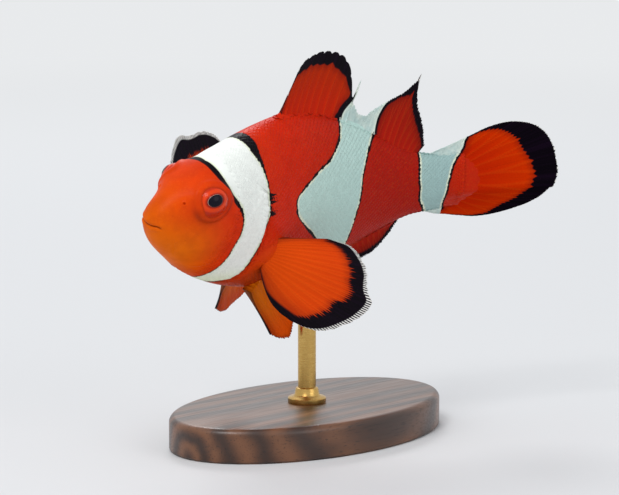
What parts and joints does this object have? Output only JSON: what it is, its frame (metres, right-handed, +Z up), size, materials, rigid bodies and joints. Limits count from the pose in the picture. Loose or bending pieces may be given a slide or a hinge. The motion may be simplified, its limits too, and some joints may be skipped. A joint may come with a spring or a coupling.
{
  "type": "clownfish",
  "caption": "Life-size clownfish model in a swimming pose, orange with white bars edged in black, held by a rod over an oval wooden display base.",
  "frame": {"origin": "middle of the underside of the stand's base, under the rod", "axes": "+Z up; the snout points to -X and the tail to +X; the fish's left side faces -Y"},
  "size_m": [0.088, 0.0406, 0.069],
  "materials": {
    "scaled_skin": "moist skin under fine overlapping scales, painted orange with white bars and black margins",
    "fin": "thin rayed membrane, orange with a black band and a pale grey edge",
    "eye": "clear domed cornea over an orange-red iris and a black pupil",
    "stand_wood": "dark oiled walnut",
    "stand_brass": "brushed brass"
  },
  "bodies": {
    "root": {"head": "scaled_skin", "lower_jaw": "scaled_skin", "gill_cover_left": "scaled_skin", "gill_cover_right": "scaled_skin", "trunk": "scaled_skin", "tail_stem": "scaled_skin", "eye_left": "eye", "eye_right": "eye", "dorsal_fin_spiny": "fin", "dorsal_fin_soft": "fin", "anal_fin": "fin", "caudal_fin": "fin", "pectoral_fin_left": "fin", "pectoral_fin_right": "fin", "pelvic_fin_left": "fin", "pelvic_fin_right": "fin", "stand_base": "stand_wood", "stand_rod": "stand_brass"}
  },
  "joints": []
}
